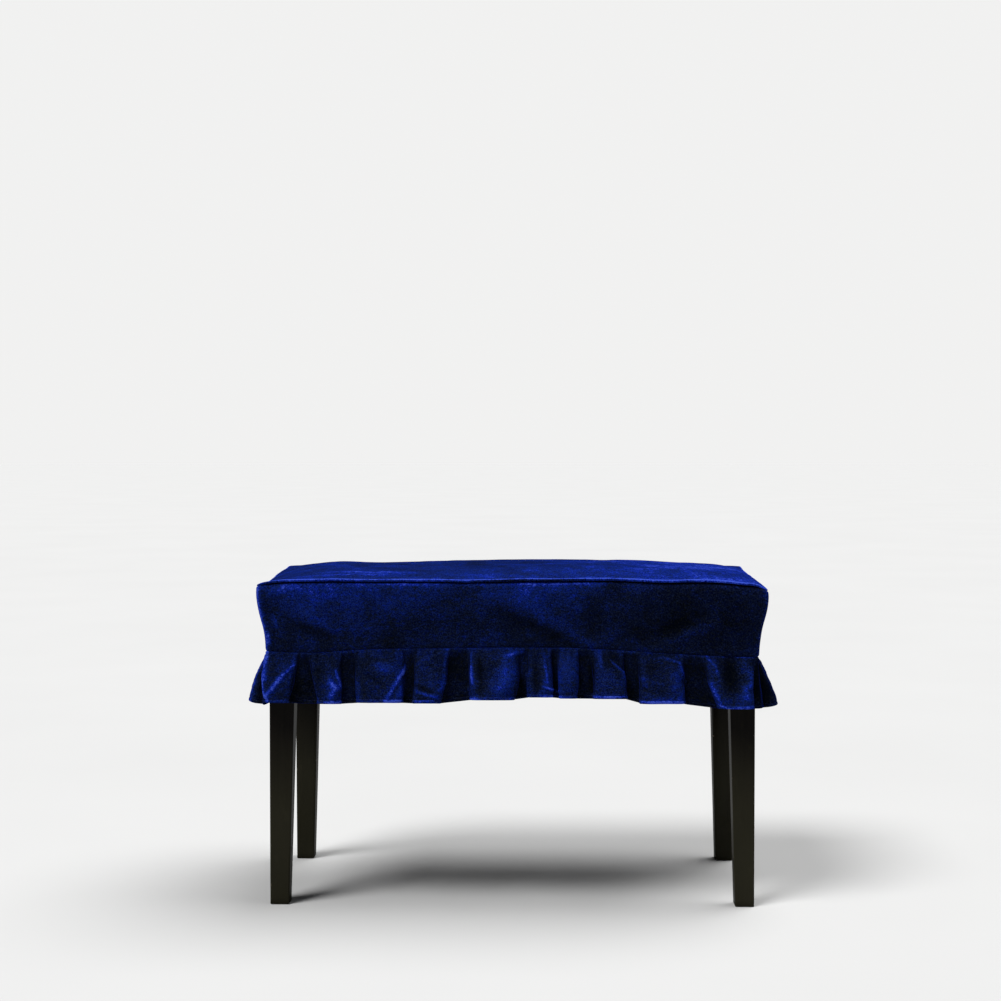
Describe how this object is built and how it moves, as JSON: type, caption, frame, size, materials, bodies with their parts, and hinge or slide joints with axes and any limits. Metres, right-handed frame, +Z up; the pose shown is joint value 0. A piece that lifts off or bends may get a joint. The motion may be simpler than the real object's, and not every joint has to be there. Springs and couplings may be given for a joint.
{
  "type": "piano bench with fitted ruffled bench cover",
  "caption": "padded piano bench on tapered square legs, under a fitted velvet cover with a softly crowned top, a plain drop and a pleated ruffle that ends in a narrow stitched hem",
  "frame": {"origin": "on the floor, under the middle of the seat", "axes": "+Z up, the front faces -Y, +X runs along the seat to the right as seen from the front"},
  "size_m": [0.798, 0.402, 0.5017],
  "materials": {
    "velvet": "crushed royal-blue velvet",
    "black_lacquer": "glossy black lacquer, a little worn at the edges",
    "seat_cloth": "plain dark seat covering"
  },
  "bodies": {
    "root": {"seat": "seat_cloth", "rail_front": "black_lacquer", "rail_right": "black_lacquer", "rail_back": "black_lacquer", "rail_left": "black_lacquer", "leg_front_left": "black_lacquer", "leg_front_right": "black_lacquer", "leg_back_right": "black_lacquer", "leg_back_left": "black_lacquer", "cover_top": "velvet", "drop_front": "velvet", "drop_right": "velvet", "drop_back": "velvet", "drop_left": "velvet", "ruffle": "velvet"}
  },
  "joints": []
}
